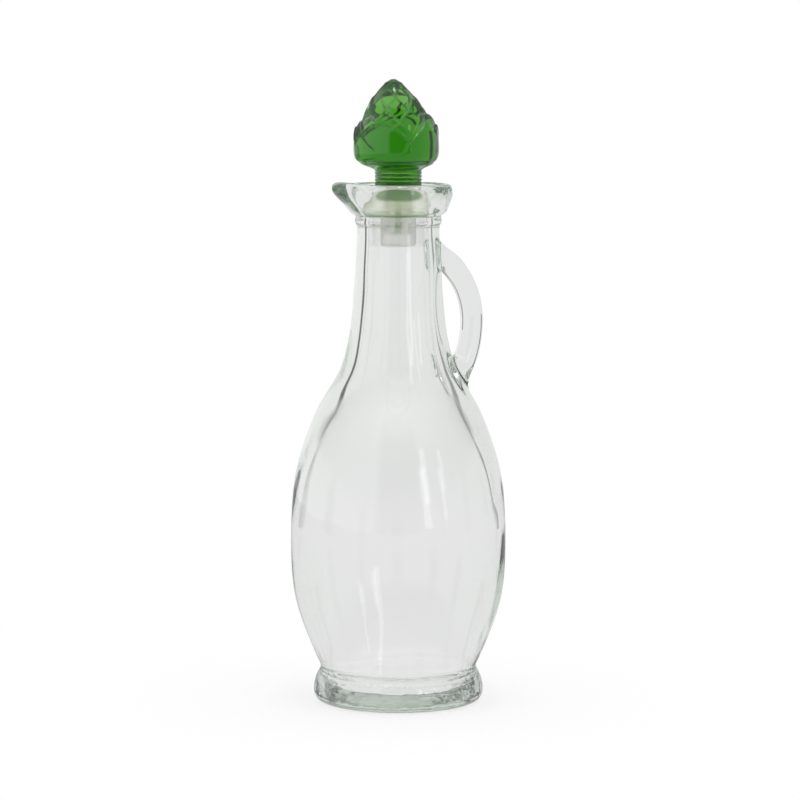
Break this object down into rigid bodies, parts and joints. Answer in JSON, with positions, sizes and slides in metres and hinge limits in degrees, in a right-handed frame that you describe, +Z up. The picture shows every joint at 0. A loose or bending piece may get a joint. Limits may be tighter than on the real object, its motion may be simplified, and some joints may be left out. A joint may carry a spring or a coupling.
{
  "type": "oil cruet",
  "caption": "Clear pressed-glass oil cruet with a pinched pouring spout, a round ear handle and a green glass artichoke knob on a soft ribbed plug.",
  "frame": {"origin": "centre of the flat ring that the cruet stands on", "axes": "+Z up the bottle's axis, -X towards the spout's nose, +X towards the handle"},
  "size_m": [0.089, 0.089, 0.2566],
  "materials": {
    "clear_glass": "clear pressed glass, faintly grey-green where it is thick, fire polished",
    "green_glass": "solid bottle-green glass, pressed and fire polished",
    "plug_plastic": "milky soft polyethylene"
  },
  "bodies": {
    "root": {"bottle": "clear_glass", "stopper_knob": "green_glass", "stopper_plug": "plug_plastic"}
  },
  "joints": []
}
